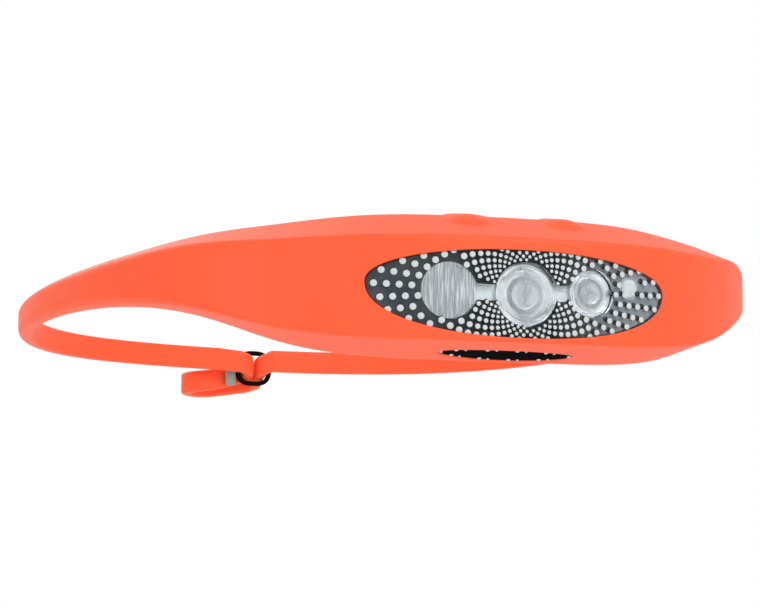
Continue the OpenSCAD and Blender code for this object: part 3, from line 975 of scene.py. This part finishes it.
def pip_group(name, places, material):
    """Small raised pips: each is its centre, three axes (the third outwards) and radius."""
    verts, faces = [], []
    n = 16
    for o, u, v, w, r in places:
        start = len(verts)
        for radius, h in ((r, -0.1), (r, 0.08), (r * 0.8, 0.2), (r * 0.45, 0.27), (r * 0.06, 0.29)):
            verts += [tuple(o + (u * math.cos(a) + v * math.sin(a)) * radius + w * h)
                      for a in (2 * math.pi * k / n for k in range(n))]
        for level in range(4):
            a, b = start + level * n, start + (level + 1) * n
            faces += [(a + k, a + (k + 1) % n, b + (k + 1) % n, b + k) for k in range(n)]
        faces.append(tuple(start + k for k in range(n))[::-1])
        faces.append(tuple(start + 4 * n + k for k in range(n)))
    return mesh_object(name, verts, faces, material, 50)


LENS_TOP_Z = -20.7


def slot_point(x, y, above):
    """A point over the lower slot, measured from the slot's middle and the bevel's face."""
    return Vector((SLOT_X + x, SLOT_Y + y, low_bevel_z(SLOT_X + x, SLOT_Y + y) + above))


def make_downlight():
    """The smoked lens in the lower slot, with raised pips in pairs along its rims; the pips' white colour is
    a painted highlight standing for their glints.
    """
    recess, a0, b0 = 0.3, SLOT_HALF - 0.04, SLOT_WIDTH - 0.04
    rings = []
    steps = [(1, None), (1, recess + 0.12), (0.99, recess)]
    steps += [(k / 12, recess) for k in range(11, 0, -1)]
    for scale, above in steps:
        ring = []
        for a in (2 * math.pi * k / 120 for k in range(120)):
            x, y = a0 * scale * math.cos(a), b0 * scale * math.sin(a)
            p = slot_point(x, y, above or 0)
            if above is None:
                p.z = LENS_TOP_Z
            ring.append(tuple(p))
        rings.append(ring)
    verts, faces = loft(rings)
    lens = mesh_object("slot_lens", verts, faces, SMOKED, 40)
    piece(lens, "band", "smoked_lens", "downlight_lens")
    slope = Vector((0, 1, -LOW_RISE / HOUSING_DEPTH)).normalized()
    down = Vector((0, slope.z, -slope.y))
    places = []
    for k in range(4):
        for x, r in ((-13.4 + 7.7 * k, 0.5), (-11.1 + 7.7 * k, 0.32)):
            half = b0 * math.sqrt(1 - (x / a0) ** 2) - 0.62
            for y in (-half, half):
                places.append((slot_point(x, y, recess), Vector((1, 0, 0)), slope, down, r))
    for x in (-a0 + 0.75, a0 - 0.75):
        places.append((slot_point(x, 0, recess), Vector((1, 0, 0)), slope, down, 0.5))
    # The pips are real raised bumps; their white colour is a painted highlight.
    piece(pip_group("slot_pips_painted_glint", places, DOT_WHITE), "band", "smoked_lens")


# ---- stage, light and camera ---------------------------------------------------------

def make_stage():
    verts = [(-3000, -3000, -320), (3000, -3000, -320), (3000, 3000, -320), (-3000, 3000, -320)]
    floor = mesh_object("floor", verts, [(0, 1, 2, 3)], plastic("floor_pale", (0.9, 0.9, 0.9, 1), rough=0.7))
    world = bpy.data.worlds.new("studio")
    bpy.context.scene.world = world
    world.use_nodes = True
    tree = world.node_tree
    background = tree.nodes["Background"]
    path = tree.nodes.new("ShaderNodeLightPath")
    seen = tree.nodes.new("ShaderNodeMapRange")
    seen.inputs["To Min"].default_value = 0.8
    seen.inputs["To Max"].default_value = 1.0
    tree.links.new(path.outputs["Is Camera Ray"], seen.inputs["Value"])
    tree.links.new(seen.outputs["Result"], background.inputs["Strength"])
    background.inputs["Color"].default_value = (1, 1, 1, 1)


def area_light(name, place, target, size, power):
    data = bpy.data.lights.new(name, "AREA")
    data.shape = "RECTANGLE"
    data.size, data.size_y = size
    data.energy = power
    obj = bpy.data.objects.new(name, data)
    bpy.context.scene.collection.objects.link(obj)
    obj.location = place
    obj.rotation_euler = (Vector(target) - Vector(place)).to_track_quat("-Z", "Y").to_euler()


def make_lights():
    area_light("key", (0.3, -0.8, 0.5), (0, -0.05, 0), (0.5, 0.4), 2.6)
    area_light("fill_low", (0.1, -0.8, -0.35), (0, -0.05, 0), (0.6, 0.3), 1.6)
    area_light("fill_left", (-0.8, -0.45, 0.1), (0, -0.03, 0), (0.5, 0.5), 0.9)
    area_light("rim", (-0.3, 0.6, 0.6), (0, 0, 0), (0.6, 0.4), 3.0)


def make_camera():
    data = bpy.data.cameras.new("camera")
    data.sensor_width = 36
    data.lens = 157.9
    data.clip_start, data.clip_end = 0.05, 20
    cam = bpy.data.objects.new("camera", data)
    bpy.context.scene.collection.objects.link(cam)
    cam.location = (-0.2872, -0.8396, -0.1168)
    cam.rotation_euler = Vector((0.32278, 0.93743, 0.13053)).to_track_quat("-Z", "Y").to_euler()
    bpy.context.scene.camera = cam


make_camera()
make_band()
make_button(-1, "power_dome", "power_pad")
make_button(1, "mode_dome", "mode_pad")
make_ring()
make_wedge()
make_window()
make_cluster()
make_flood()
make_spot("spot_optic", SPOT, "spot_lens", "spot_led", 4.2)
make_spot("beam_optic", BEAM, "oval_lens", "oval_led", 3.8)
make_side()
make_downlight()
make_stage()
make_lights()
bpy.context.scene.view_settings.view_transform = "Standard"
bpy.context.scene.view_settings.look = "None"
